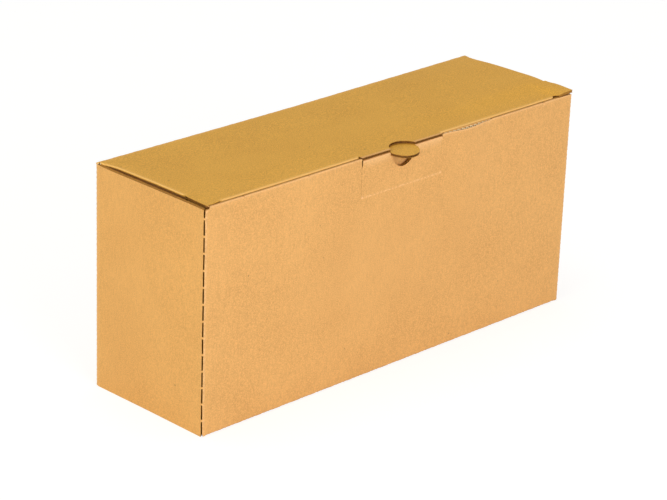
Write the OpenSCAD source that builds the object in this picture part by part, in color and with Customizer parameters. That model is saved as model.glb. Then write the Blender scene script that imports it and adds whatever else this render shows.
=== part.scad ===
// Closed shipping carton, folded from one sheet of fluted board.
// Four walls make a glued tube. The lid hinges on the back wall and tucks its flaps in.
// A lock flap cut from the front wall holds the lid shut until it is pulled out by its half-round tab.

/* [Carton] */
// Outside length of the carton, along X
carton_l = 298; // [220:1:380]
// Outside width of the carton, along Y
carton_w = 90; // [75:1:150]
// Outside height of the carton, along Z
carton_h = 137; // [110:1:200]
// Thickness of the fluted board
board_t = 1.6; // [1.4:0.1:2.2]
// Outside radius of a fold
fold_r = 1.8; // [1.6:0.1:2.4]
// Width of the glue flap inside the back wall
glue_w = 25; // [15:1:35]
// Distance of the glue flap's ends from the tube's ends
glue_trim = 6; // [4:1:12]
// Slant of the glue flap's ends
glue_slant = 9; // [4:1:14]

/* [Lid] */
// Room between the walls and the flaps that tuck in behind them
flap_gap = 0.8; // [0.5:0.1:1.2]
// How far the lid's hinge fold lies below its front edge
hinge_dip = 1; // [0.5:0.1:1.5]
// How far from the back wall the lid has risen to its full height
rise_l = 34; // [26:1:42]
// Depth of the tuck flap behind the front wall
tuck_depth = 45; // [36:1:60]
// Radius of the tuck flap's lower corners
tuck_r = 12; // [6:1:20]
// Free raw edge of the lid at each end of the tuck fold
free_front = 10.6; // [8:0.2:16]
// Free raw edge of the lid between the front and the side fold
free_side = 18.6; // [14:0.2:26]
// Depth of the lid's side flaps behind the end walls
side_depth = 38; // [25:1:55]
// Radius of the side flaps' lower corners
side_r = 8; // [4:1:14]
// How far the raw corners are trimmed back from the fold lines
raw_trim = 1; // [0.8:0.1:1.4]

/* [Bottom] */
// Depth of the bottom's glued flaps
bottom_depth = 30; // [20:1:45]

/* [Lock] */
// Width of the lock flap in the front wall
lock_w = 66; // [50:1:90]
// How far the lock sits to the right of the middle
lock_shift = 3; // [-15:1:15]
// Height of the lock flap between its two creases
lock_h = 21.5; // [20:0.5:30]
// Reach of the flange inwards from the front face
flange_l = 13; // [11:0.5:16]
// How much narrower each side of the flange is than the lock flap
flange_step = 1; // [0.6:0.1:2]
// Bevel on the flange's two inner corners
flange_bevel = 4; // [2:0.5:7]
// Radius of the half-round tab and of the notch that it leaves
thumb_r = 10.3; // [8:0.1:13]
// Depth of the half-round notch in the lid's edge
lid_notch = 7.4; // [5:0.2:9]
// Opening angle of the lock flap
lock_open = 75; // [45:5:75]
// Share of the lock flap's turn that its flange folds back
flange_share = 0.75; // [0.7:0.05:0.9]

/* [Corner cuts] */
// Distance between the bridges that hold a cut corner together
slit_pitch = 10; // [8:1:15]
// Height of one bridge
bridge_h = 1.3; // [0.8:0.1:2]
// Width of a slit
slit_w = 1.1; // [0.8:0.1:1.4]
// Depth of a slit, less than the board
slit_depth = 1.2; // [0.8:0.1:1.3]
// Distance of a slit from the face that it folds into
slit_edge = 0.4; // [0.3:0.1:0.6]
// Width of the relief at each end of a fold
relief_w = 0.8; // [0.5:0.1:1.2]
// Length of the relief at the top of the front wall's corners
top_relief_l = 3.8; // [3:0.2:5]
// Height of the relief at the top of the front wall's corners
top_relief_h = 2; // [1.7:0.1:3]
// Distance between the torn nicks in the front wall's top edge
nick_pitch = 48.9; // [30:0.1:60]
// How far the row of nicks sits to the right of the middle
nick_shift = 1.75; // [-10:0.25:10]
// Width of a torn nick
nick_w = 1.2; // [0.8:0.1:2]
// Depth of a torn nick
nick_h = 0.8; // [0.4:0.1:1.2]

/* [Clearances] */
// Gap of a knife cut on each side of a moving piece
cut_gap = 0.3; // [0.2:0.05:0.4]
// Gap round a crease that turns
crease_gap = 0.3; // [0.25:0.05:0.4]
// Room between the lid and the flange below it
slide_gap = 0.5; // [0.4:0.05:0.7]
// Drop of the end walls' raw top edges below the lid
end_drop = 0.1; // [0.05:0.05:0.5]
// Open line of the glued seam at the back right corner
seam_gap = 0.2; // [0.1:0.05:0.3]

/* [Hidden] */
$fn = 64;
// Segments of the lid's wide curve behind its flat part
rise_fn = 1440;
// Overshoot of a cut past the surface that it opens
over = 1;
kraft = [0.84, 0.63, 0.38];
kraft_lock = [0.87, 0.67, 0.42];

end_z = carton_h - board_t - end_drop;
flap_inset = board_t + flap_gap;
lock_y = board_t / 2 - carton_w / 2;
flange_z = carton_h - board_t - slide_gap - board_t / 2;
crease_z = flange_z - lock_h;
crease_room = board_t / 2 + crease_gap;

// The flange leaves the slot as its inner edge passes the tuck flap's outer face
flange_reach = flange_l - board_t / 2;
exit_turn = asin((flange_reach - flap_inset + board_t / 2) / lock_h);
exit_drop = lock_h * (1 - cos(exit_turn)) - flange_reach * sin((1 - flange_share) * exit_turn);
slot_h = board_t + slide_gap + max(exit_drop, 0) + crease_gap;

// Section drawn in the YZ plane and run along X, centred
module along_x(l) {
    translate([-l / 2, 0, 0]) rotate([90, 0, 90]) linear_extrude(l) children();
}

// Section drawn in the XZ plane and run along Y from y0 to y1
module along_y(y0, y1) {
    translate([0, y1, 0]) rotate([90, 0, 0]) linear_extrude(y1 - y0) children();
}

// Rectangle in one quarter from the origin, with only its far corner rounded
module one_round(w, h, r) {
    square([w - r, h]);
    square([w, h - r]);
    translate([w - r, h - r]) circle(r);
}

// Flap hanging from the line y = 0, with both lower corners rounded
module flap_outline(l, depth, r) {
    for (side = [0, 1]) mirror([side, 0]) mirror([0, 1]) one_round(l / 2, depth, r);
}

// Radius of the wide arc that takes a panel down by dip at its hinge fold
function rise_radius(dip) = (pow(rise_l - fold_r, 2) + dip * dip) / (2 * dip);

// Space under a panel's top face, seen from the end: flat in front, a wide arc towards the hinge
module under_panel(dip, depth, shrink) {
    flat_y = carton_w / 2 - rise_l;
    if (dip > 0) {
        translate([-carton_w, -depth]) square([carton_w + flat_y, depth - shrink]);
        intersection() {
            translate([flat_y, -rise_radius(dip)]) circle(rise_radius(dip) - shrink, $fn = rise_fn);
            translate([flat_y, -depth]) square([rise_l, depth]);
        }
    } else {
        translate([-carton_w, -depth]) square([2 * carton_w, depth - shrink]);
    }
}

// Outer section of a panel with its tuck fold in front and its hinge fold at the back wall
module outer_section(front_y, dip, depth) {
    hinge_y = carton_w / 2 - fold_r;
    arc_r = dip > 0 ? rise_radius(dip) : 0;
    drop = dip > 0 ? arc_r - sqrt(pow(arc_r - fold_r, 2) - pow(rise_l - fold_r, 2)) : fold_r;
    touch = dip > 0 ? (rise_l - fold_r) * fold_r / (arc_r - fold_r) : 0;
    translate([hinge_y, -depth]) square([fold_r, depth - drop]);
    translate([hinge_y, -drop]) circle(fold_r);
    intersection() {
        translate([hinge_y, -depth]) {
            mirror([1, 0]) one_round(hinge_y - front_y, depth, fold_r);
            if (dip > 0) square([touch, depth]);
        }
        under_panel(dip, depth, 0);
    }
}

// Inner section of the same panel, one board inside
module inner_section(front_y, dip, depth) {
    intersection() {
        translate([front_y + board_t, -depth]) square([carton_w / 2 - front_y - 2 * board_t, depth]);
        under_panel(dip, depth, board_t);
    }
}

// Folded tray: a panel with a skirt on all four sides, before the skirts are cut to flaps
module tray(inset, dip, depth) {
    half_l = carton_l / 2 - inset;
    front_y = inset - carton_w / 2;
    difference() {
        intersection() {
            along_x(2 * half_l) outer_section(front_y, dip, depth);
            along_y(front_y, carton_w / 2) {
                for (side = [0, 1]) mirror([side, 0]) {
                    translate([0, -depth]) one_round(half_l, depth, fold_r);
                }
            }
        }
        along_x(2 * (half_l - board_t)) inner_section(front_y, dip, depth + over);
    }
}

// What is kept of the tray: the panel between its raw corners, three flaps and the hinge strip
module flap_mask(inset, dip, tuck, side, corner, short) {
    half_l = carton_l / 2 - inset;
    front_y = inset - carton_w / 2;
    side_front = front_y + free_side;
    side_l = carton_w / 2 - 2 * board_t - relief_w - side_front;
    tuck_l = 2 * (half_l - free_front) - short;
    hinge_l = fold_r + dip + board_t;
    // Panel between the side folds
    translate([-half_l, side_front, -board_t - dip]) {
        cube([2 * half_l, carton_w / 2 - side_front, 2 * board_t + dip]);
    }
    // Panel up to the tuck fold
    translate([-tuck_l / 2 - short / 2, front_y, -board_t]) {
        cube([tuck_l, side_front - front_y, 2 * board_t]);
    }
    // Side flaps
    for (end = [-1, 1]) {
        translate([end * (half_l - board_t / 2), side_front + side_l / 2, 0]) {
            rotate([90, 0, 90]) linear_extrude(2 * board_t, center = true) {
                flap_outline(side_l, side, side_r);
            }
        }
    }
    // Tuck flap
    translate([-short / 2, front_y + board_t / 2, 0]) {
        rotate([90, 0, 0]) linear_extrude(2 * board_t, center = true) flap_outline(tuck_l, tuck, corner);
    }
    // Hinge strip
    translate([-half_l, carton_w / 2 - board_t - over, -hinge_l]) {
        cube([2 * half_l, board_t + 2 * over, hinge_l + over]);
    }
}

// Flat corners of the panel with raw edges, between the tuck fold and the side folds
module raw_corners(inset, reach, short) {
    half_l = carton_l / 2 - inset;
    front_y = inset - carton_w / 2;
    raw_l = half_l - raw_trim;
    for (end = [-1, 1]) {
        inner = end * (half_l - free_front - (end > 0 ? short : 0));
        translate([min(inner, end * raw_l), front_y - reach, -board_t]) {
            cube([abs(end * raw_l - inner), free_side + reach, board_t]);
        }
    }
}

// Notches that free the ends of the tuck fold and the side folds
module fold_reliefs(inset, short) {
    half_l = carton_l / 2 - inset;
    front_y = inset - carton_w / 2;
    for (end = [-1, 1]) {
        fold_end = end * (half_l - free_front) - (end > 0 ? short : 0);
        translate([fold_end - relief_w / 2, front_y - over, -2 * board_t]) {
            cube([relief_w, over + fold_r, 3 * board_t]);
        }
        translate([end * half_l - fold_r, front_y + free_side - relief_w / 2, -2 * board_t]) {
            cube([2 * fold_r, relief_w, 3 * board_t]);
        }
    }
}

// Panel that closes one end of the tube, folded over at the back wall
module closure(inset, dip, tuck, side, corner, reach, short) {
    difference() {
        union() {
            intersection() {
                tray(inset, dip, max(tuck, side) + board_t);
                flap_mask(inset, dip, tuck, side, corner, short);
            }
            raw_corners(inset, reach, short);
        }
        fold_reliefs(inset, short);
    }
}

// Plan of the tube: at the seam the end wall's fold lies inside the back wall's raw end
module tube_plan() {
    half_l = carton_l / 2;
    half_w = carton_w / 2;
    seam_y = half_w - board_t;
    difference() {
        union() {
            for (side = [0, 1]) mirror([side, 0]) mirror([0, 1]) one_round(half_l, half_w, fold_r);
            mirror([1, 0]) one_round(half_l, half_w, fold_r);
            one_round(half_l, seam_y - seam_gap, fold_r);
            translate([0, seam_y]) square([half_l, board_t]);
        }
        square([carton_l - 2 * board_t, carton_w - 2 * board_t], center = true);
    }
}

// Flap inside the back wall that joins the tube
module glue_flap() {
    root_x = carton_l / 2 - board_t;
    top = end_z - glue_trim;
    translate([0, carton_w / 2 - board_t, 0]) rotate([90, 0, 0]) linear_extrude(board_t + seam_gap) {
        polygon([
            [root_x, glue_trim], [root_x, top],
            [root_x - glue_w, top - glue_slant], [root_x - glue_w, glue_trim + glue_slant]
        ]);
    }
}

// Cut line down one corner, on the end wall's side, held by a bridge at every pitch
module corner_slit() {
    difference() {
        translate([carton_l / 2 - slit_depth, carton_w / 2 - slit_edge - slit_w, -over]) {
            cube([slit_depth + over, slit_w, end_z + 2 * over]);
        }
        for (z = [slit_pitch : slit_pitch : end_z - bridge_h]) {
            translate([carton_l / 2 - slit_depth, carton_w / 2 - 2 * slit_w, z - bridge_h / 2]) {
                cube([slit_depth + 2 * over, 2 * slit_w, bridge_h]);
            }
        }
    }
}

// Tube of four walls, with its raw top edges, relieved corners and slit folds
module tube() {
    difference() {
        union() {
            linear_extrude(end_z) tube_plan();
            glue_flap();
            translate([top_relief_l - carton_l / 2, -carton_w / 2, end_z - over]) {
                cube([carton_l - 2 * top_relief_l, board_t, carton_h - end_z + over]);
            }
        }
        // Room for the lid's hinge fold in the back wall
        translate([flap_inset - relief_w - carton_l / 2, carton_w / 2 - board_t - over / 2, hinge_z()]) {
            cube([carton_l - 2 * (flap_inset - relief_w), board_t + over, carton_h]);
        }
        // Room for the bottom's hinge fold in the front wall
        translate([board_t - relief_w - carton_l / 2, -carton_w / 2 - over / 2, -over]) {
            cube([carton_l - 2 * (board_t - relief_w), board_t + over, over + fold_r]);
        }
        // Relief of the front wall's top corners
        for (side = [0, 1]) mirror([side, 0, 0]) {
            translate([carton_l / 2 - top_relief_l, -carton_w / 2 - over, carton_h - top_relief_h]) {
                cube([top_relief_l + over, over + board_t, top_relief_h + over]);
            }
        }
        // Nicks torn in the front wall's top edge
        for (i = [-2.5 : 2.5]) {
            translate([nick_shift + i * nick_pitch - nick_w / 2, -carton_w / 2 - over, carton_h - nick_h]) {
                cube([nick_w, board_t + 2 * over, nick_h + over]);
            }
        }
        mirror([1, 0, 0]) corner_slit();
        mirror([0, 1, 0]) corner_slit();
        mirror([1, 0, 0]) mirror([0, 1, 0]) corner_slit();
    }
}

// Height at which the back wall starts to curve into the lid
function hinge_z() = carton_h - hinge_dip - fold_r;

// Lid with its tongue, the slot under it and the half-round notch
module lid() {
    translate([0, 0, carton_h]) difference() {
        union() {
            closure(flap_inset, hinge_dip, tuck_depth, side_depth, tuck_r, flap_gap - cut_gap, 0);
            translate([lock_shift - lock_w / 2 + cut_gap, -carton_w / 2, -board_t]) {
                cube([lock_w - 2 * cut_gap, flap_inset + fold_r, board_t]);
            }
        }
        translate([lock_shift - lock_w / 2, -carton_w / 2 - over, -board_t - slot_h]) {
            cube([lock_w, flap_inset + board_t + 2 * over, slot_h]);
        }
        translate([lock_shift, lid_notch - thumb_r - carton_w / 2, -board_t - over]) {
            cylinder(r = thumb_r, h = board_t + 2 * over);
        }
    }
}

// Bottom panel, hinged on the front wall and glued to the other three
module bottom() {
    short = max(glue_w + relief_w - free_front, 0);
    rotate([180, 0, 0]) closure(board_t, 0, bottom_depth, bottom_depth, side_r, -cut_gap, short);
}

// Opening that the lock flap leaves in the front wall
module lock_opening() {
    translate([lock_shift - lock_w / 2, -carton_w / 2 - over, crease_z - crease_room]) {
        cube([lock_w, board_t + 2 * over, carton_h]);
    }
}

// Whole folded sheet, apart from the lock flap and its flange
module carton() {
    color(kraft) {
        difference() {
            tube();
            lock_opening();
        }
        lid();
        bottom();
    }
}

// Side view of the lock flap about its lower crease, bevelled where the flange folds against it
module lock_flap_section() {
    circle(board_t / 2);
    difference() {
        translate([-board_t / 2, 0]) square([board_t, lock_h - crease_room]);
        translate([0, lock_h]) rotate(-flange_share * lock_open) translate([0, -crease_room]) {
            square([lock_h, 2 * crease_room]);
        }
    }
}

// Lock flap: a panel of the front wall that swings out about its lower crease
module lock_flap() {
    color(kraft_lock) translate([lock_shift, lock_y, crease_z]) difference() {
        along_x(lock_w - 2 * cut_gap) lock_flap_section();
        translate([0, 0, lock_h]) rotate([90, 0, 0]) cylinder(r = thumb_r, h = 2 * board_t, center = true);
    }
}

// Outline of the flange in plan: inner edge bevelled at both corners
module flange_outline() {
    half = lock_w / 2 - cut_gap - flange_step;
    polygon([
        [-half, 0], [half, 0], [half, flange_reach - flange_bevel], [half - flange_bevel, flange_reach],
        [flange_bevel - half, flange_reach], [-half, flange_reach - flange_bevel]
    ]);
}

// Flange that slides in under the lid, with the half-round tab in front of its crease
module lock_flange() {
    knuckle_l = lock_w - 2 * (cut_gap + flange_step);
    color(kraft_lock) translate([lock_shift, lock_y, flange_z]) {
        linear_extrude(board_t, center = true) {
            flange_outline();
            intersection() {
                circle(thumb_r);
                translate([-thumb_r, -thumb_r]) square([2 * thumb_r, thumb_r]);
            }
        }
        rotate([0, 90, 0]) cylinder(r = board_t / 2, h = knuckle_l, center = true);
    }
}

carton();
lock_flap();
lock_flange();
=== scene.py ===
import math

import bpy
import numpy as np
from mathutils import Matrix, Vector, geometry


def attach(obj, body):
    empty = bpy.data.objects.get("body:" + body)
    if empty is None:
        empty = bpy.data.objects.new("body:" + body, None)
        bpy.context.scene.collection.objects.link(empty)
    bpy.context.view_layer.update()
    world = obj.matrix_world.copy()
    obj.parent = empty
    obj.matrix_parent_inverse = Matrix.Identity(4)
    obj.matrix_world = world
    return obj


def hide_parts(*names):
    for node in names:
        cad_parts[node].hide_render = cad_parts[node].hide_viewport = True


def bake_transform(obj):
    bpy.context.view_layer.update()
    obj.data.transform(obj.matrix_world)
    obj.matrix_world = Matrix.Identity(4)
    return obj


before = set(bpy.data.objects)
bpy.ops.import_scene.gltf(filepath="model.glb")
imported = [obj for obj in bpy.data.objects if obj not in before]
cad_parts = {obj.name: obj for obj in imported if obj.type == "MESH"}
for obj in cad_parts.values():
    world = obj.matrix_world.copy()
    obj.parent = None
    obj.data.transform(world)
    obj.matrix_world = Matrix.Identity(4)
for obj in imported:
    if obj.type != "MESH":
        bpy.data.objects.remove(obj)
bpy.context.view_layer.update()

# Lengths are in millimetres; objects, lamps and the camera are placed in metres.
MM = 0.001

# Carton: outside length, width and height
L, W, H = 298.0, 90.0, 137.0
HALF_L, HALF_W = L / 2, W / 2

# Board: thickness, thickness of a liner, length of a flute
T = 1.6
LINER = 0.28
FLUTE = 3.5

# Folds: outer radius, length of a square bend, how far the inner face is crushed, and how far that reaches
R = 0.9
ARC = R * math.pi / 2
CRUSH = T + 0.1 - R
CRUSH_FADE = 6

# Tops of the end walls and of the back wall
END_Z = 135.4
BACK_Z = H - R

# Lock: middle, width, foot of its opening, lower crease, top of the flange, crease axis
CX = 3.0
LOCK_W = 66.0
X0, X1 = CX - LOCK_W / 2, CX + LOCK_W / 2
FOOT_Z = 112
CREASE_Z = 112.6
FLANGE_TOP = 134.9
AXIS_Y = T / 2 - HALF_W

# Thumb hole: radius and the middle of the lid's notch
THUMB = 10.3
NOTCH_Y = 7.4 - THUMB - HALF_W

# Spacing of the inner points of a sheet's grid
GRID = 3.0

# Mesh slots
WALL, SHADED_TOP, INSIDE, SHADED_EDGE, SHADED_MEDIUM, TORN = range(6)


def make_camera():
    yaw, pitch, roll = (math.radians(a) for a in (45.1233, 22.3288, 1.9557))
    forward = Vector((math.sin(yaw) * math.cos(pitch), math.cos(yaw) * math.cos(pitch), -math.sin(pitch)))
    right = Vector((math.cos(yaw), -math.sin(yaw), 0))
    up = right.cross(forward)
    x = math.cos(roll) * right + math.sin(roll) * up
    y = -math.sin(roll) * right + math.cos(roll) * up
    cam = bpy.data.objects.new("camera", bpy.data.cameras.new("camera"))
    cam.data.lens, cam.data.sensor_width = 148.897, 36
    cam.data.clip_start, cam.data.clip_end = 0.01, 50
    turn = Matrix((x, y, -forward)).transposed().to_4x4()
    cam.matrix_world = Matrix.Translation(Vector((-1.073859, -1.063970, 0.679534))) @ turn
    bpy.context.collection.objects.link(cam)
    bpy.context.scene.camera = cam


make_camera()


def srgb(*c):
    """Colour of a shader from the levels that it shows on a screen."""
    return [(v / 255 / 12.92 if v <= 10 else ((v / 255 + 0.055) / 1.055) ** 2.4) for v in c] + [1]


def scaled(colour, k, more=0.0):
    """A lighter or darker colour."""
    return [min(1, c * k + more) for c in colour[:3]] + [1]


class Nodes:
    """One node tree under construction."""

    def __init__(self, owner):
        owner.use_nodes = True
        self.tree = owner.node_tree
        self.tree.nodes.clear()

    def new(self, kind, values=None, **settings):
        """New node. values gives sockets a number, a colour or another node's output."""
        node = self.tree.nodes.new("ShaderNode" + kind)
        for key, value in settings.items():
            setattr(node, key, value)
        for socket, value in (values or {}).items():
            if isinstance(value, bpy.types.NodeSocket):
                self.tree.links.new(value, node.inputs[socket])
            else:
                node.inputs[socket].default_value = value
        return node


def kraft(name, light, dark, bump=0.25, grain=0.8):
    """Kraft liner: blotches, long fibres along the flutes, fine grain, a few dark specks, and pale rubbing
    that also paints the highlights of folds and edges.
    """
    material = bpy.data.materials.new(name)
    nodes = Nodes(material)
    coords = nodes.new("TexCoord").outputs["Object"]

    def noise(scale, detail, rough, seed, squeeze=1.0):
        place = {0: coords, "Scale": (1, 1, squeeze), "Location": (seed, seed * 0.7, seed * 1.3)}
        values = {0: nodes.new("Mapping", place).outputs[0], "Scale": scale, "Detail": detail}
        return nodes.new("TexNoise", {**values, "Roughness": rough}).outputs[0]

    def mix(fac, a, b):
        return nodes.new("Mix", {0: fac, 6: a, 7: b}, data_type="RGBA").outputs[2]

    def ramp(value, lo, hi, a=0.0, b=1.0):
        return nodes.new("MapRange", {0: value, 1: lo, 2: hi, 3: a, 4: b}).outputs[0]

    blotch = noise(26, 3, 0.55, 3.1)
    cloud = noise(150, 4, 0.6, 1.7)
    fibre = noise(900, 3, 0.6, 0.4, squeeze=0.28)
    fine = noise(1500, 2, 0.7, 5.2)
    speck = nodes.new("TexVoronoi", {0: coords, "Scale": 55}).outputs["Distance"]
    wear_and_highlight = nodes.new("Attribute", attribute_name="wear_and_highlight").outputs["Fac"]
    base = mix(ramp(blotch, 0.3, 0.7), light, dark)
    base = mix(ramp(cloud, 0.35, 0.68, 0, 0.35), base, dark)
    base = mix(ramp(fibre, 0.38, 0.68, 0, 0.5), base, scaled(dark, 0.86))
    base = mix(ramp(fine, 0.42, 0.66, 0, 0.8), base, scaled(light, 1 + 0.2 * grain))
    base = mix(ramp(speck, 0.02, 0.04, 0.6, 0), base, scaled(dark, 0.3))
    # Pale rubbing, which also paints the highlights of folds and edges
    base = mix(wear_and_highlight, base, scaled(light, 1.14, 0.13))

    # A wave texture of scale 1 has 20 radians a metre, and one of its bands is to be as long as a flute.
    ribs = {0: coords, "Scale": 2 * math.pi / (20 * FLUTE * MM)}
    wave = nodes.new("TexWave", ribs, bands_direction="X").outputs["Fac"]
    rough = nodes.new("Bump", {"Strength": bump, "Distance": 0.0002, "Height": fibre}).outputs[0]
    ribbed = nodes.new("Bump", {"Strength": 0.08, "Distance": 0.0001, "Height": wave, "Normal": rough})
    bsdf = nodes.new("BsdfPrincipled", {"Base Color": base, "Roughness": 0.7, "Specular IOR Level": 0.4,
                                        "Normal": ribbed.outputs[0]})
    nodes.new("OutputMaterial", {0: bsdf.outputs[0]})
    return material


# The top colour is the walls' kraft made darker and more olive: painted shade of faces turned up, on the lid,
# the flange and the tab.
SLOTS = (kraft("kraft_wall", srgb(227, 172, 103), srgb(212, 157, 90)),
         kraft("kraft_top_shaded", srgb(216, 162, 62), srgb(202, 148, 51), grain=1.6),
         kraft("kraft_inside", srgb(205, 155, 95), srgb(180, 130, 74)),
         # The raw edge and medium colours are the board's darker cut edges, darkened further as painted shade
         # of their recesses.
         kraft("kraft_edge_shaded", srgb(170, 118, 34), srgb(130, 82, 16), bump=0.4),
         kraft("kraft_medium_shaded", srgb(140, 92, 32), srgb(96, 56, 14), bump=0.4),
         kraft("kraft_torn", srgb(250, 232, 196), srgb(226, 200, 156), bump=0.4))


def bump(t):
    """Smooth hump, 1 at 0 and 0 from -1 and 1 outwards."""
    return 0.5 + 0.5 * np.cos(np.pi * np.clip(t, -1, 1))


def fold(s, w, give=0.0):
    """Place of depth w at length s past a fold's start: along the first face, and inwards from it.

    give is how far the second face draws back behind the fold.
    """
    a = np.clip(s / R, 0, math.pi / 2)
    before, after = np.minimum(s, 0), np.maximum(s - ARC, 0)
    pinch = CRUSH * w / T * np.clip(1 + before / CRUSH_FADE, 0, 1) * np.clip(1 - after / CRUSH_FADE, 0, 1)
    along = before + (R - w) * np.sin(a) + pinch * (np.sin(a) - 1) - give * (1 - np.exp(-after / 1.5))
    inward = R - (R - w) * np.cos(a) + after + pinch * (1 - np.cos(a))
    return along, inward


def arc(cx, cy, r, a0, a1, n):
    """Points of a round cut, angles in degrees."""
    return [(cx + r * math.cos(math.radians(a0 + (a1 - a0) * i / n)),
             cy + r * math.sin(math.radians(a0 + (a1 - a0) * i / n))) for i in range(n + 1)]


def dense(points, gap):
    """Closed loop with no side longer than gap."""
    out = []
    for (x0, y0), (x1, y1) in zip(points, points[1:] + points[:1]):
        n = max(1, math.ceil(math.hypot(x1 - x0, y1 - y0) / gap))
        out += [(x0 + (x1 - x0) * i / n, y0 + (y1 - y0) * i / n) for i in range(n)]
    return out


def inside(pts, loops):
    """Which points lie inside the first loop and outside the others."""
    hit = np.zeros(len(pts), bool)
    x, y = pts[:, 0], pts[:, 1]
    for loop in loops:
        for (x0, y0), (x1, y1) in zip(loop, loop[1:] + loop[:1]):
            if y0 != y1:
                hit ^= ((y0 > y) != (y1 > y)) & (x < (x1 - x0) * (y - y0) / (y1 - y0) + x0)
    return hit


def flat_mesh(loops, us, vs):
    """Points and counter-clockwise triangles of a flat outline with holes and a grid of inner points."""
    grid = np.array([(u, v) for u in us for v in vs])
    grid = grid[inside(grid, loops)]
    rim = np.array([p for lp in loops for p in lp])
    far = np.array([np.abs(rim - p).max(1).min() > 0.35 for p in grid])
    coords, sides = [], []
    for lp in loops:
        first = len(coords)
        coords += lp
        sides += [(first + i, first + (i + 1) % len(lp)) for i in range(len(lp))]
    coords += [tuple(p) for p in grid[far]]
    made = geometry.delaunay_2d_cdt([Vector(c) for c in coords], sides, [], 0, 1e-5, False)
    flat = np.array([tuple(c) for c in made[0]])
    tris = np.array(made[2], int)
    tris = tris[inside(flat[tris].mean(1), loops)]
    a, b, c = (flat[tris[:, i]] for i in range(3))
    turned = (b[:, 0] - a[:, 0]) * (c[:, 1] - a[:, 1]) < (b[:, 1] - a[:, 1]) * (c[:, 0] - a[:, 0])
    tris[turned] = tris[turned][:, ::-1]
    return flat, tris


class Parts:
    """Points and faces of one mesh, as they are gathered."""

    def __init__(self, place):
        self.place, self.points, self.count, self.faces, self.kinds = place, [], 0, [], []

    def add(self, flat, w):
        """Folds flat points at depth w into place and returns the number of the first."""
        first = self.count
        self.points.append(self.place(flat[:, 0], flat[:, 1], np.zeros(len(flat)) + w))
        self.count += len(flat)
        return first

    def face(self, corners, kind):
        self.faces.append(corners)
        self.kinds.append(kind)


def rim_steps(flat, edges):
    """Points of a sheet's rim, and the step of each one into the sheet."""
    sums = {}
    for i, j in edges:
        d = (flat[j] - flat[i]) / max(1e-9, np.hypot(*(flat[j] - flat[i])))
        for k in (i, j):
            sums[k] = sums.get(k, 0) + np.array([-d[1], d[0]]) / 2
    ids = sorted(sums)
    steps = np.array([sums[k] for k in ids])
    return ids, steps / np.maximum(0.35, (steps ** 2).sum(1))[:, None]


def edge_kind(strip, light, crushed, face_kind):
    """Mesh slot of a raw edge's strip: outer liner, side, floor and side of the recess, inner liner."""
    if light and (strip < 3 if crushed else strip != 2):
        return face_kind
    # The recess's floor and sides take the darker edge and medium colours, partly painted shade.
    return SHADED_MEDIUM if strip == 2 and not crushed else SHADED_EDGE


def add_edges(parts, flat, edges, outer, inner, is_open, face, recess, pale):
    """Raw edges: the liners' edges, the recess between them and the fluted medium in it."""
    ids, steps = rim_steps(flat, edges)
    own = {k: recess(*flat[k]) for k in ids}
    deep = [0.2 + min(abs(step[1]), 1) if own[k] is None else own[k] for k, step in zip(ids, steps)]
    sunk = flat[ids] + steps * np.array(deep)[:, None]
    rims = [{k: outer + k for k in ids}]
    for points, w in ((flat[ids], LINER), (sunk, LINER), (sunk, T - LINER), (flat[ids], T - LINER)):
        first = parts.add(points, w)
        rims.append({k: first + i for i, k in enumerate(ids)})
    rims.append({k: inner + k for k in ids})

    spans = []
    for i, j in edges:
        u, v = (flat[i] + flat[j]) / 2
        if is_open(u, v):
            continue
        light, crushed = pale(u, v), own[i] is not None and own[i] < 0.3
        for k in range(5):
            kind = edge_kind(k, light, crushed, face(u, v))
            parts.face([rims[k][i], rims[k + 1][i], rims[k + 1][j], rims[k][j]], kind)
        if abs(flat[j][0] - flat[i][0]) >= 0.2 and not crushed:
            spans.append((flat[i], flat[j], light))
    # Flutes of pale edges are pale torn paper; the others take the darker medium colour, partly painted
    # shade.
    for start, end, light in spans:
        add_flutes(parts, start, end, TORN if light else SHADED_MEDIUM)


def add_flutes(parts, start, end, kind):
    """Wavy ribbon of the medium along one raw edge, from 0.1 to 0.9 mm inside it."""
    way = 1 if end[0] > start[0] else -1
    count = int(abs(end[0] - start[0]) / (FLUTE / 8)) + 1
    line = start + (end - start) * np.linspace(0, 1, count + 1)[:, None]
    mid = T / 2 + (T / 2 - LINER - 0.07) * np.sin(2 * np.pi * line[:, 0] / FLUTE)
    rings = [parts.add(line + (0, way * dv), mid + dw)
             for dv, dw in ((0.1, -0.09), (0.9, -0.09), (0.9, 0.09), (0.1, 0.09))]
    for k in range(count):
        for m in (0, 2, 3):
            a, b = rings[m] + k, rings[(m + 1) % 4] + k
            parts.face([a, a + 1, b + 1, b], kind)


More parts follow.
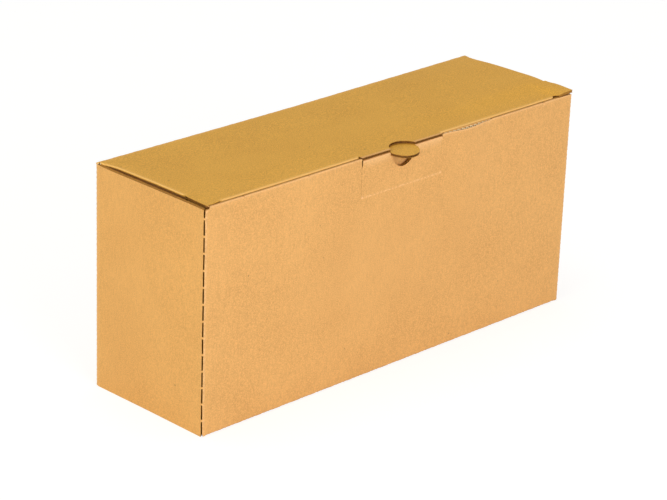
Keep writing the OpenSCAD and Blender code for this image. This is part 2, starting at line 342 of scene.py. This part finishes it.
def sheet(name, outline, holes, us, vs, place, is_open, face=lambda u, v: WALL, wear_and_highlight=None,
          recess=lambda u, v: None, pale=lambda u, v: False, gap=2.5):
    """One piece of folded board from its flat outline.

    place(u, v, w) folds a point at depth w below the outer face. is_open(u, v) names edges that another sheet
    continues. A raw edge gets two liners and, in a recess between them, the fluted medium. recess(u, v) gives
    that recess another depth, crushed flat under 0.3, and pale(u, v) names edges as light as the face.
    """
    flat, tris = flat_mesh([dense(lp, gap) for lp in [outline] + holes], us, vs)
    parts = Parts(place)
    outer, inner = parts.add(flat, 0), parts.add(flat, T)
    for tri in tris:
        parts.face([outer + i for i in tri], face(*flat[tri].mean(0)))
        parts.face([inner + i for i in tri[::-1]], INSIDE)
    half = {(t[i], t[(i + 1) % 3]) for t in tris.tolist() for i in range(3)}
    edges = [e for e in half if (e[1], e[0]) not in half]
    add_edges(parts, flat, edges, outer, inner, is_open, face, recess, pale)

    data = bpy.data.meshes.new(name)
    data.from_pydata((np.concatenate(parts.points) * MM).tolist(), [], parts.faces)
    for m in SLOTS:
        data.materials.append(m)
    data.polygons.foreach_set("material_index", parts.kinds)
    data.polygons.foreach_set("use_smooth", [k < SHADED_EDGE for k in parts.kinds])
    sharp = {(base + min(e), base + max(e)) for e in edges for base in (outer, inner)}
    is_sharp = [(min(e.vertices), max(e.vertices)) in sharp for e in data.edges]
    data.edges.foreach_set("use_edge_sharp", is_sharp)
    # Pale rubbing and painted highlights on the outer face, one value per point
    lightened = np.zeros(parts.count, np.float32)
    if wear_and_highlight is not None:
        lightened[outer:outer + len(flat)] = wear_and_highlight(flat[:, 0], flat[:, 1])
    data.attributes.new("wear_and_highlight", "FLOAT", "POINT").data.foreach_set("value", lightened)
    data.update()
    obj = bpy.data.objects.new(name, data)
    bpy.context.collection.objects.link(obj)
    return obj


# What use has done to this carton: drop of the front wall's top along x, camber of the lid's right end and
# hump of its bent-up corner along y, sag of its rear edge along x
DROP = (-149, -140, -100, -36, 36, 80, 110, 149), (0.3, 0.35, 0.6, 0.6, 0.95, 1.15, 1.2, 1.2)
CAMBER = (-47, -40, -33, -26, -17, -5, 12, 28, 45), (0.4, 0.7, 1.1, 2.3, 3.1, 2.7, 2.5, 1.8, 0.0)
HUMP = (-46, -40, -36, -32, -28, -24), (0.9, 1.2, 1.3, 1.0, 0.2, 0)
SAG = (-149, -100, 0, 100, 149), (0, -0.2, -0.6, -0.2, 0)

# Where along x the camber, the bent-up corner and the lean of the ends start
CAMBER_X, BENT_X, LEAN_X = 20, 135.2, 60

# Bow of the front wall's outer liner next to the lock: middle, half width, height
BOW_X, BOW_W, BOW = 58, 21, 1.5

# Score line in the front wall near the left end
SCORE_X = -147


def front_drop(x):
    """How far the front wall's top lies below its nominal height."""
    return np.interp(x, *DROP)


def lid_z(x, y):
    """How far the lid stands above its nominal plane: cambered, with its front right corner bent up."""
    right = np.clip((x - CAMBER_X) / (HALF_L - CAMBER_X), 0, 1) ** 1.3
    smooth = sum(np.interp(y + k, *CAMBER) for k in (-6, -3, 0, 3, 6)) / 5
    camber = right * smooth + (1 - right) * 0.3 * bump((y + 8) / 46)
    front = np.clip((-20 - y) / 22, 0, 1)
    front = front * front * (3 - 2 * front)
    corner = 1 - np.exp(-np.clip(x - BENT_X, 0, None) / 3.4)
    edge = 0.6 - front_drop(x) - 0.5 * np.clip((-136 - x) / 8, 0, 1)
    rear = np.interp(x, *SAG) * np.clip((y - 12) / 33, 0, 1) ** 2
    held = front * (1 - corner)
    return camber * (1 - held) + edge * held + np.interp(y, *HUMP) * corner + rear


def lean(p):
    """The back left corner and the top of the right end stand out a little."""
    x, y, z = p[:, 0].copy(), p[:, 1].copy(), p[:, 2]
    span = HALF_L - LEAN_X
    left = 0.5 * np.clip((-LEAN_X - x) / span, 0, 1) * np.clip(y / HALF_W, 0, 1)
    p[:, 0] += 1.1 * np.clip((x - LEAN_X) / span, 0, 1) ** 2 * z / H - left
    p[:, 1] += left
    return p


# Tube of four walls: arc length along its outer face is x on the front wall
SEAM_GAP = 0.2
GLUE_W = 25
U_LF0 = R - HALF_L - ARC
U_BL0 = U_LF0 - (W - 2 * R) - ARC
U_BACK0 = U_BL0 - (L - R)
U_FR0 = HALF_L - R
U_RG0 = U_FR0 + ARC + W - 2 * R - T - SEAM_GAP
U_GLUE1 = U_RG0 + ARC + GLUE_W

# Each fold of the tube: where it starts, its x and y there, and the way that the wall before it runs, in
# quarter turns from +x
CORNERS = ((U_BL0, R - HALF_L, HALF_W, 2), (U_LF0, -HALF_L, R - HALF_W, 3), (U_FR0, HALF_L - R, -HALF_W, 0),
           (U_RG0, HALF_L, HALF_W - R - T - SEAM_GAP, 1))
SPLITS = (-1e9, (U_BL0 + U_LF0) / 2, 0, (U_FR0 + U_RG0) / 2, 1e9)

# Cuts of the walls: slits through the folds, their pitch and bridges, top and foot of the end cuts, and nicks
SLITS = ((U_BL0 - 0.5, U_BL0 + 0.25), (U_LF0 - 0.12, U_LF0 + 0.83), (U_FR0 + ARC - 0.25, U_FR0 + ARC + 0.5))
PITCH = 10
BRIDGE = 1
CUT_FOOT, CUT_HEAD = 9.3, 130.7
NICKS = (-120.5, -71.5, 75.0, 124.0)

# Half lengths of the hinges of the bottom and of the lid, and the glue flap's trim and slant
BOTTOM_X = 146.5
LID_X = 147.6
TRIM, SLANT = 6, 9

# Height above which an edge belongs to the walls' top
TOP_EDGE = 134


def back_u(x):
    """Arc length of a place on the back wall."""
    return U_BACK0 + HALF_L - x


def left_u(y):
    """Arc length of a place on the left end wall."""
    return U_LF0 - y - HALF_W + R


def front_bow(x, z, w):
    """How far the front wall stands out of its plane; next to the lock only its outer liner does."""
    fade = np.exp(-np.clip(H - z, 0, None) / 30)
    top = BOW * bump((x - BOW_X) / BOW_W) * fade * (1 - 0.85 * w / T)
    wide = 0.35 * bump((x + 20) / 125) * np.sin(np.clip(z, 0, H) / H * np.pi)
    crease = 0.14 * np.exp(-((z - CREASE_Z) / 0.45) ** 2) * (np.abs(x - CX) < LOCK_W / 2)
    return top + wide + crease - 0.2 * np.exp(-((x - SCORE_X) / 0.3) ** 2)


def place_tube(u, v, w):
    """Folds the walls round the carton: u is the length along its outer face, v is the height."""
    x, y = np.zeros(len(u)), np.zeros(len(u))
    for (start, px, py, way), lo, hi in zip(CORNERS, SPLITS, SPLITS[1:]):
        m = (u >= lo) & (u < hi)
        along, inward = fold(u[m] - start, w[m])
        c, s = ((1, 0), (0, 1), (-1, 0), (0, -1))[way]
        x[m], y[m] = px + along * c - inward * s, py + along * s + inward * c
    front = (u > U_LF0) & (u < U_FR0 + ARC)
    left = (u > U_BL0 + ARC) & (u < U_LF0)
    back = u < U_BL0 + ARC
    top = np.clip((v - 128) / 6, 0, 1)
    z = v - front * top * (front_drop(x) + 0.7 * bump((x - BOW_X) / (BOW_W - 1)) * (1 - w / T))
    z = z + left * top * 0.5 * w / T + back * top * lid_z(x, HALF_W)
    y = y - front * front_bow(x, z, w)
    return lean(np.stack([x - left * 0.25 * bump(y / 40) * np.sin(v / H * np.pi), y, z], 1))


def nick(x):
    """A torn nick in the front wall's top edge, from right to left."""
    return [(x + 0.6, H), (x + 0.35, H - 0.5), (x - 0.4, H - 0.4), (x - 0.55, H)]


def tube_outline():
    """Flat outline of the walls, counter-clockwise from the foot of the back wall's free end."""
    (b0, b1), (l0, l1), (r0, r1) = SLITS
    glue, front = U_RG0 + 0.4, BOTTOM_X + 0.05
    pts = [(U_BACK0, 0), (b0, 0), (b0, CUT_FOOT), (b1, CUT_FOOT), (b1, 0)]
    pts += [(l0, 0), (l0 + 0.05, CUT_FOOT - 0.2), (l1, CUT_FOOT + 0.1)]
    pts += [(l1 + 0.1, 1.5), (l1 + 0.6, 0.9), (l1 + 0.5, 0.3), (-front, 0.15), (-BOTTOM_X, R)]
    pts += [(BOTTOM_X, R), (front, 0.15), (r0, 0.3), (r0, CUT_FOOT), (r1, CUT_FOOT), (r1, 0), (glue, 0)]
    pts += [(glue, TRIM), (U_RG0 + ARC, TRIM), (U_GLUE1, TRIM + SLANT)]
    pts += [(U_GLUE1, END_Z - TRIM - SLANT), (U_RG0 + ARC, END_Z - TRIM), (glue, END_Z - TRIM), (glue, END_Z)]
    pts += [(r1, END_Z), (r1, CUT_HEAD), (r0, CUT_HEAD), (r0, 136.6), (147.4, 136.9), (143, H)]
    for x in reversed([x for x in NICKS if x > CX]):
        pts += nick(x)
    pts += [(X1, H), (X1, FOOT_Z), (X0, FOOT_Z), (X0, H)]
    for x in reversed([x for x in NICKS if x < CX]):
        pts += nick(x)
    pts += [(-145.3, H), (-145.5, 136.6), (-146.0, 135.7), (l1 + 0.1, 135.1), (l1, CUT_HEAD + 0.2)]
    pts += [(l0, CUT_HEAD), (l0, END_Z - 0.2), (left_u(-38), END_Z - 0.05), (left_u(-31), END_Z)]
    pts += [(left_u(30), END_Z), (left_u(38), END_Z + 0.2), (b1, END_Z + 0.6), (b1, CUT_HEAD), (b0, CUT_HEAD)]
    pts += [(b0, END_Z + 0.6), (back_u(-LID_X), BACK_Z - 0.1), (back_u(-LID_X), BACK_Z)]
    return pts + [(back_u(LID_X), BACK_Z), (back_u(LID_X + 0.1), END_Z), (U_BACK0, END_Z)]


def slit_holes():
    """Slits between the bridges of each fold, with edges as uneven as a dull knife leaves them."""
    rng = np.random.default_rng(4)
    holes = []
    for a, b in SLITS:
        for k in range(1, 13):
            z0 = PITCH * k + BRIDGE / 2 + rng.uniform(-0.12, 0.2)
            z1 = PITCH * (k + 1) - BRIDGE / 2 + rng.uniform(-0.2, 0.12)
            j = rng.uniform(-0.06, 0.06, 4)
            holes.append([(a + j[0], z0 + 0.2), (a + 0.3, z0), (b + j[1], z0 + 0.1), (b + j[2], z1 - 0.15),
                          (b - 0.2, z1), (a + j[3], z1 - 0.1)])
    return holes


def tube_open(u, v):
    """The lock's lower crease and the hinges of the bottom and the lid."""
    side = abs(abs(u - CX) - LOCK_W / 2) < 0.01 and v < CREASE_Z
    crease = abs(v - FOOT_Z) < 0.01 and abs(u - CX) < LOCK_W / 2
    return side or crease or abs(v - R) < 0.01 and abs(u) < BOTTOM_X or abs(v - BACK_Z) < 0.01 and u < U_BL0


def tube_recess(u, v):
    """The cut edges of the walls are crushed, except at the bow next to the lock."""
    if v > TOP_EDGE + 2 and X1 + 3 < u < BOW_X + 22:
        return 0.6
    return 0.12 if v < 1.5 or v > TOP_EDGE else None


def tube_wear_and_highlight(u, v):
    """Pale rubbing and painted highlights on the tube's folds and on the front wall's top edge."""
    lightened = 0.45 * bump((u - U_BL0 - ARC * 0.6) / ARC)
    lightened = np.maximum(lightened, 0.45 * bump((u - U_FR0 - ARC * 0.5) / ARC))
    lightened = np.maximum(lightened, 0.7 * bump((u - U_LF0 - 1.75) / 1.0))
    return np.maximum(lightened, 0.5 * bump((v - H) / 1.4) * (np.abs(u) < HALF_L))


def bend(start):
    """Places of the five rows that a fold needs."""
    return [start + ARC * i / 4 for i in range(5)]


def tube_columns():
    """Places along u of the grid's inner points, close together in the folds and at the score line."""
    bends = bend(U_BL0) + bend(U_LF0) + bend(U_FR0) + bend(U_RG0)
    score = [SCORE_X + 0.3 * k for k in range(-3, 3)]
    return sorted(set(list(np.arange(U_BACK0 + GRID / 2, U_GLUE1, GRID)) + bends + score))


tube = sheet("walls", tube_outline(), slit_holes(), tube_columns(),
             list(np.arange(0.6, H, 3.1)) + [H - 1.2, H - 0.5], place_tube, tube_open, wear_and_highlight=tube_wear_and_highlight,
             recess=tube_recess, pale=lambda u, v: v > TOP_EDGE and abs(u) < HALF_L)
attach(tube, "carton")
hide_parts("carton")


# Panels: length of a side's edge that is free in front of its flap, how far past the front fold's start a
# point still belongs to the tongue, and how deep the slot for the flange goes below the lid
FREE_SIDE = 18.8
TONGUE = 5.2
SLOT_DEEP = T + 3.62


class Panel:
    """A closing panel: flat in the middle, folded down at the sides, in front and at the hinge.

    Its side folds lie half_l to each side of mid, and run outwards by flare towards the hinge. Its front fold
    lies at front_y, between the two ends. give is how far the side flaps draw back behind their folds.
    """

    def __init__(self, mid, half_l, front_y, give, flare, ends):
        self.mid, self.half_l, self.give, self.flare, self.ends = mid, half_l, give, flare, ends
        self.fy, self.free_y = front_y + R, front_y + FREE_SIDE

    def side_x(self, v):
        """Where the fold of a side flap starts."""
        return self.half_l - R + self.flare * np.clip((v - 28) / 16, 0, 1) ** 2

    def place(self, u, v, w, tongue=False):
        """Folds the panel, whose middle's outer face is at z = 0. The tongue over the lock stays flat."""
        x, y, z = u + 0.0, v + 0.0, -w
        m = (v < 0) & (u > self.ends[0] - 0.1) & (u < self.ends[1] + 0.4)
        if tongue:
            m &= ~((np.abs(u - CX) < LOCK_W / 2) & (v > self.fy - TONGUE))
        along, inward = fold(self.fy - v[m], w[m], self.give * 0.7)
        y[m], z[m] = self.fy - along, -inward
        m = v > 0
        along, inward = fold(v[m] - HALF_W + R, w[m])
        y[m], z[m] = HALF_W - R + along, -inward
        d = u - self.mid
        m = (np.abs(d) > self.half_l - 8) & (v > self.free_y) & (v < HALF_W - T)
        fx = self.side_x(v[m])
        along, inward = fold(np.abs(d[m]) - fx, w[m], self.give)
        x[m], z[m] = self.mid + np.sign(d[m]) * (fx + along), -inward
        return np.stack([x, y, z], 1)

    def outline(self, tuck, side, strip, raw, corner):
        """Flat outline, counter-clockwise from the hinge's left end.

        tuck and side are the lengths of the flaps, strip is half the hinge's length, raw holds the free edges
        of the two front corners, and corner is the radius of the tuck flap's corners.
        """
        back, y0, y1 = HALF_W - R + ARC, self.free_y + 0.4, HALF_W - 2.0
        far, fx, r = self.side_x(y1), self.side_x(0), 8
        end_x, end_y = fx + ARC + side - R, self.fy - ARC - tuck + R
        t0, t1 = self.ends
        left = [(-far, y1 + 0.4), (-far, y1)] + arc(r - end_x, y1 - r, r, 90, 180, 6)
        left += arc(r - end_x, y0 + r, r, 180, 270, 6) + [(-fx - 0.2, y0), (-fx - 0.2, y0 - 0.7)]
        right = [(-x, y) for x, y in reversed(left)]
        pts = [(-strip, back), (-strip, y1 + 0.5)] + [(self.mid + x, y) for x, y in left] + raw[0]
        pts += [(t0 - 0.25, raw[0][-1][1]), (t0 - 0.25, self.fy), (t0 + 0.1, self.fy)]
        pts += arc(t0 + corner, end_y + corner, corner, 180, 270, 8)
        pts += arc(t1 - corner, end_y + corner, corner, 270, 360, 8)
        pts += [(t1 - 0.2, self.fy - 0.4), (t1 + 0.3, self.fy + 0.3), (t1 + 0.7, self.fy + 0.8)] + raw[1]
        return pts + [(self.mid + x, y) for x, y in right] + [(strip, y1 + 0.5), (strip, back)]

    def columns(self):
        """Places along u of the grid's inner points, close together in the side folds."""
        fx = self.half_l - R
        end = fx + ARC + self.flare
        near = list(np.arange(fx, end + 1, 0.35)) + [end + k for k in (1.7, 3, 5)]
        near = [self.mid + k * x for k in (-1, 1) for x in near]
        return sorted(set(list(np.arange(-185, 185, GRID)) + near))

    def rows(self, tuck):
        """Places along v of the grid's inner points, close together in the front fold and the hinge."""
        fy = self.fy - ARC
        near = [fy - k for k in (0.5, 1, 2, 3.5)] + bend(fy) + bend(HALF_W - R)
        return sorted(set(list(np.arange(fy - tuck, HALF_W, GRID)) + near))


def panel_open(u, v):
    """The hinge, which a wall continues."""
    return abs(v - (HALF_W - R + ARC)) < 0.01


# Lid: its panel, length of the tuck flap, length and hinge of the side flaps, radius of the tuck's corners
lid_panel = Panel(0.45, 145.95, T + 0.45 - HALF_W, 2.2, 3.5, (-136.0, 134.7))
TUCK, LID_SIDE, LID_STRIP, TUCK_R = 45, 36, 148.9, 10


def place_lid(u, v, w):
    """Folds the lid and gives it its camber."""
    p = lid_panel.place(u, v, w, tongue=True)
    p[:, 2] += H + lid_z(p[:, 0], p[:, 1])
    return lean(p)


def tongue_hole():
    """Slot for the flange in the tuck fold, with the tongue's edge and the thumb notch on its other side."""
    fy = lid_panel.fy
    slot = fy - ARC - (SLOT_DEEP - R)
    lip = math.degrees(math.asin((-HALF_W - NOTCH_Y) / THUMB))
    pts = [(X0 - 0.1, fy), (X0 - 0.1, slot), (X1 + 0.1, slot), (X1 + 0.1, fy), (X1 - 0.15, fy)]
    pts += [(X1 - 0.25, -HALF_W)] + arc(CX, NOTCH_Y, THUMB, lip, 180 - lip, 22)
    return pts + [(X0 + 0.25, -HALF_W), (X0 + 0.15, fy)]


def lid_wear_and_highlight(u, v):
    """Pale rubbing and painted highlights on the front fold, the side folds and the hinge."""
    front = 0.8 * bump((v - lid_panel.fy + ARC * 0.5) / 1.2)
    front = front * (np.abs(u - CX) > LOCK_W / 2) * (np.abs(u) < 136)
    side = 0.9 * bump((np.abs(u - lid_panel.mid) - lid_panel.side_x(v) - ARC * 0.4) / 0.9)
    hinge = 0.4 * bump((v - HALF_W + R - ARC * 0.3) / 1.8)
    return np.maximum(np.maximum(front, side * (v > lid_panel.free_y)), hinge)


def lid_face(u, v):
    """The lid's outer face is painted the shade of a face turned up, the walls' kraft darker and more olive;
    its flaps have the walls' colour.
    """
    tuck = v < lid_panel.fy - ARC and u < 136
    side = abs(u - lid_panel.mid) > lid_panel.side_x(v) + ARC and v > lid_panel.free_y
    return WALL if tuck or side else SHADED_TOP


def lid_recess(u, v):
    """The tongue's edge and the bent-up corner's front edge are partly crushed."""
    if abs(v + HALF_W) < 0.1 and abs(u - CX) < LOCK_W / 2:
        return 0.5
    return 0.15 if u > 137 and v < -44 else None


# Free edges of the lid's front corners, left and right
LID_RAW = ([(-145.75, -24.9), (-146.2, -44.9), (-145.5, -44.9), (-145.4, -43.3)],
           [(137.4, -45.0), (148.7, -45.3), (147.0, -24.9)])
lid = sheet("lid", lid_panel.outline(TUCK, LID_SIDE, LID_STRIP, LID_RAW, TUCK_R), [tongue_hole()],
            lid_panel.columns(), lid_panel.rows(TUCK), place_lid, panel_open, lid_face, lid_wear_and_highlight, lid_recess,
            lambda u, v: v > HALF_W - 2.1)
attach(lid, "carton")

# Bottom: its panel, length of its flaps, half length of its hinge, corner radius, free edges of its corners
bottom_panel = Panel(0, HALF_L - T - 0.1, T + 0.05 - HALF_W, 0, 0, (-136.0, 136.0))
BOTTOM_FLAP, BOTTOM_STRIP, BOTTOM_R = 30, 146.6, 15.2
BOTTOM_RAW = ([(-146.2, -25.1), (-146.2, -43.2)], [(137.4, -43.2), (146.2, -43.2), (146.2, -25.1)])


def place_bottom(u, v, w):
    """Folds the bottom like a lid and turns it over, about the x axis."""
    p = bottom_panel.place(u, v, w)
    p[:, 1:] *= -1
    return p


bottom_outline = bottom_panel.outline(BOTTOM_FLAP, BOTTOM_FLAP, BOTTOM_STRIP, BOTTOM_RAW, BOTTOM_R)
bottom = sheet("bottom", bottom_outline, [], bottom_panel.columns(), bottom_panel.rows(BOTTOM_FLAP),
               place_bottom, panel_open)
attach(bottom, "carton")


# Lock: its flap in two pieces that part at SEAM_Z, start and end of the upper fold, and the flange's end
SEAM_Z = 118.0
FLANGE = 13
FOLD_Z = FLANGE_TOP - R
FLAT_V = FOLD_Z + ARC
END_V = FLAT_V + FLANGE - R
BEVEL = 4

# The flap's left cut is a little open, its right cut almost closed, and the flange is narrower by INSET
CUT_X0, CUT_X1 = X0 + 0.12, X1 - 0.01
INSET = 1.3
LOCK_COLUMNS = np.arange(X0 + GRID / 2, X1, GRID)


def place_flap(u, v, w):
    """The flap's lower part, flush with the front wall."""
    return np.stack([u, -HALF_W + w - front_bow(u, v, w), v], 1)


# The lower crease gets pale rubbing and a painted highlight, brighter at its left end.
flap = sheet("lock_flap_low",
             [(X0, FOOT_Z), (X1, FOOT_Z), (X1, CREASE_Z), (CUT_X1, CREASE_Z + 0.1), (CUT_X1, SEAM_Z),
              (CUT_X0, SEAM_Z), (CUT_X0, CREASE_Z + 0.1), (X0, CREASE_Z)],
             [], LOCK_COLUMNS, [CREASE_Z + k for k in (-0.4, -0.2, 0, 0.2, 0.4, 0.7, 1.2, 2.4, 3.9)],
             place_flap, lambda u, v: v < CREASE_Z or abs(v - SEAM_Z) < 0.01,
             wear_and_highlight=lambda u, v: (0.8 + 0.2 * (u < X0 + 2)) * np.exp(-((v - CREASE_Z) / 0.4) ** 2))
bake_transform(flap)
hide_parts("lock_flap")


def place_top(u, v, w):
    """The flap's upper part with the flange folded inwards."""
    along, inward = fold(v - FOLD_Z, w)
    bow = front_bow(u, v, w) * np.clip((FOLD_Z - v) / 12, 0, 1)
    return np.stack([u, -HALF_W + inward - bow, FOLD_Z + along], 1)


def top_outline():
    """Flat outline of the flap's upper part and the flange, counter-clockwise from the left cut."""
    a, b = X0 + INSET, X1 - INSET
    right = [(CUT_X1, SEAM_Z), (CUT_X1, FOLD_Z + 0.3), (X1 - 0.3, FOLD_Z + 0.8), (b, FOLD_Z + 1.5)]
    end = [(b, END_V - BEVEL), (b - BEVEL, END_V), (a + BEVEL, END_V), (a, END_V - BEVEL)]
    left = [(a, FOLD_Z + 0.9), (X0 + 0.8, FOLD_Z), (X0 + 0.7, FOLD_Z - 1.6), (CUT_X0, FOLD_Z - 3.4)]
    return [(CUT_X0, SEAM_Z)] + right + end + left


def thumb_hole():
    """Hole that the pull tab leaves in the flap, up to the fold where the tab starts."""
    low = [(CX + 0.8 + 0.95 * x, z) for x, z in arc(0, 134.4, 10, 180, 360, 24)]
    return [(CX - 8.9, FLAT_V)] + low + [(CX + THUMB, FLAT_V)]


def top_open(u, v):
    """The cut to the lower part, and the start of the tab."""
    return abs(v - SEAM_Z) < 0.01 or (abs(v - FLAT_V) < 0.01 and abs(u - CX) < THUMB)


# The flange past the upper fold is painted the shade of a face turned up, and the fold gets pale rubbing and
# a painted highlight away from the thumb hole.
top = sheet("lock_flap_top", top_outline(), [thumb_hole()],
            LOCK_COLUMNS, list(np.arange(119.5, 132, 2.5)) + bend(FOLD_Z) + [138, 141, 144],
            place_top, top_open, lambda u, v: SHADED_TOP if v > FLAT_V else WALL,
            lambda u, v: 0.8 * bump((v - FOLD_Z - ARC * 0.4) / 1.1) * (np.abs(u - CX) > THUMB - 1))
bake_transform(top)
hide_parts("lock_flange")

# Pull tab: where it leaves the flange, its radius, and how far its end droops
TAB_Y = R - HALF_W
TAB_R = THUMB - 0.1
DROOP = 0.8


def place_tab(u, v, w):
    """The tab, level with the flange and drooping towards its end."""
    return np.stack([u, v, FLANGE_TOP - w - DROOP * np.clip((TAB_Y - v) / 9, 0, 1) ** 1.5], 1)


reach = math.degrees(math.asin((TAB_Y - AXIS_Y) / TAB_R))
# The tab's top is painted the shade of a face turned up.
tab = sheet("pull_tab", arc(CX, AXIS_Y, TAB_R, 180 - reach, 360 + reach, 30), [],
            np.arange(CX - 9, CX + 10, 2.0), np.arange(-53, -43.5, 1.5), place_tab,
            lambda u, v: v > TAB_Y - 0.02, lambda u, v: SHADED_TOP, gap=1.2)
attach(tab, "lock_flange")


def looked_at(nodes):
    """1 for rays from the camera and for mirrored and refracted ones."""
    path = nodes.new("LightPath").outputs
    value = path["Is Camera Ray"]
    for kind in ("Is Glossy Ray", "Is Transmission Ray"):
        value = nodes.new("Math", {0: value, 1: path[kind]}, operation="MAXIMUM").outputs[0]
    return value


def floor_material():
    """Pale floor that the camera sees as plain white, and that keeps the object's shadow."""
    material = bpy.data.materials.new("floor_pale")
    nodes = Nodes(material)
    plain = nodes.new("BsdfDiffuse", {"Color": (0.8, 0.8, 0.8, 1)}).outputs[0]
    seen = nodes.new("BsdfDiffuse", {"Color": (0.34, 0.34, 0.34, 1)}).outputs[0]
    glow = nodes.new("Emission", {"Strength": 0.76}).outputs[0]
    both = nodes.new("AddShader", {0: seen, 1: glow}).outputs[0]
    pick = nodes.new("MixShader", {0: looked_at(nodes), 1: plain, 2: both}).outputs[0]
    nodes.new("OutputMaterial", {0: pick})
    return material


floor_mesh = bpy.data.meshes.new("floor")
floor_mesh.from_pydata([(-6, -6, 0), (6, -6, 0), (6, 6, 0), (-6, 6, 0)], [], [(0, 1, 2, 3)])
floor = bpy.data.objects.new("floor", floor_mesh)
floor.location.z = -0.0001
bpy.context.collection.objects.link(floor)
floor_mesh.materials.append(floor_material())


def area(name, where, size, watts, colour):
    """Round lamp that points at the carton's middle."""
    light = bpy.data.lights.new(name, "AREA")
    light.shape, light.size, light.energy, light.color = "DISK", size, watts, colour
    o = bpy.data.objects.new(name, light)
    o.location = where
    o.rotation_euler = (Vector((0, 0, 0.07)) - Vector(where)).to_track_quat("-Z", "Y").to_euler()
    bpy.context.collection.objects.link(o)


area("key", (-0.5, -1.6, 0.5), 0.9, 13.3, (1, 0.99, 0.98))
area("side", (-1.65, -0.15, 0.4), 0.8, 8.35, (1, 0.945, 0.52))
area("fill", (1.6, -1.4, 0.9), 1.2, 3, (1, 0.96, 0.7))
area("top", (-0.2, 0.3, 2.2), 1.5, 11.2, (1, 0.98, 0.92))


def make_world():
    """Soft even light, and plain white where the camera looks past the carton."""
    world = bpy.data.worlds.new("studio")
    bpy.context.scene.world = world
    nodes = Nodes(world)
    soft = nodes.new("Background", {0: (1, 1, 1, 1), 1: 0.45}).outputs[0]
    white = nodes.new("Background", {0: (1, 1, 1, 1), 1: 1.0}).outputs[0]
    pick = nodes.new("MixShader", {0: looked_at(nodes), 1: soft, 2: white}).outputs[0]
    nodes.new("OutputWorld", {0: pick})


make_world()
bpy.context.scene.view_settings.view_transform = "Standard"
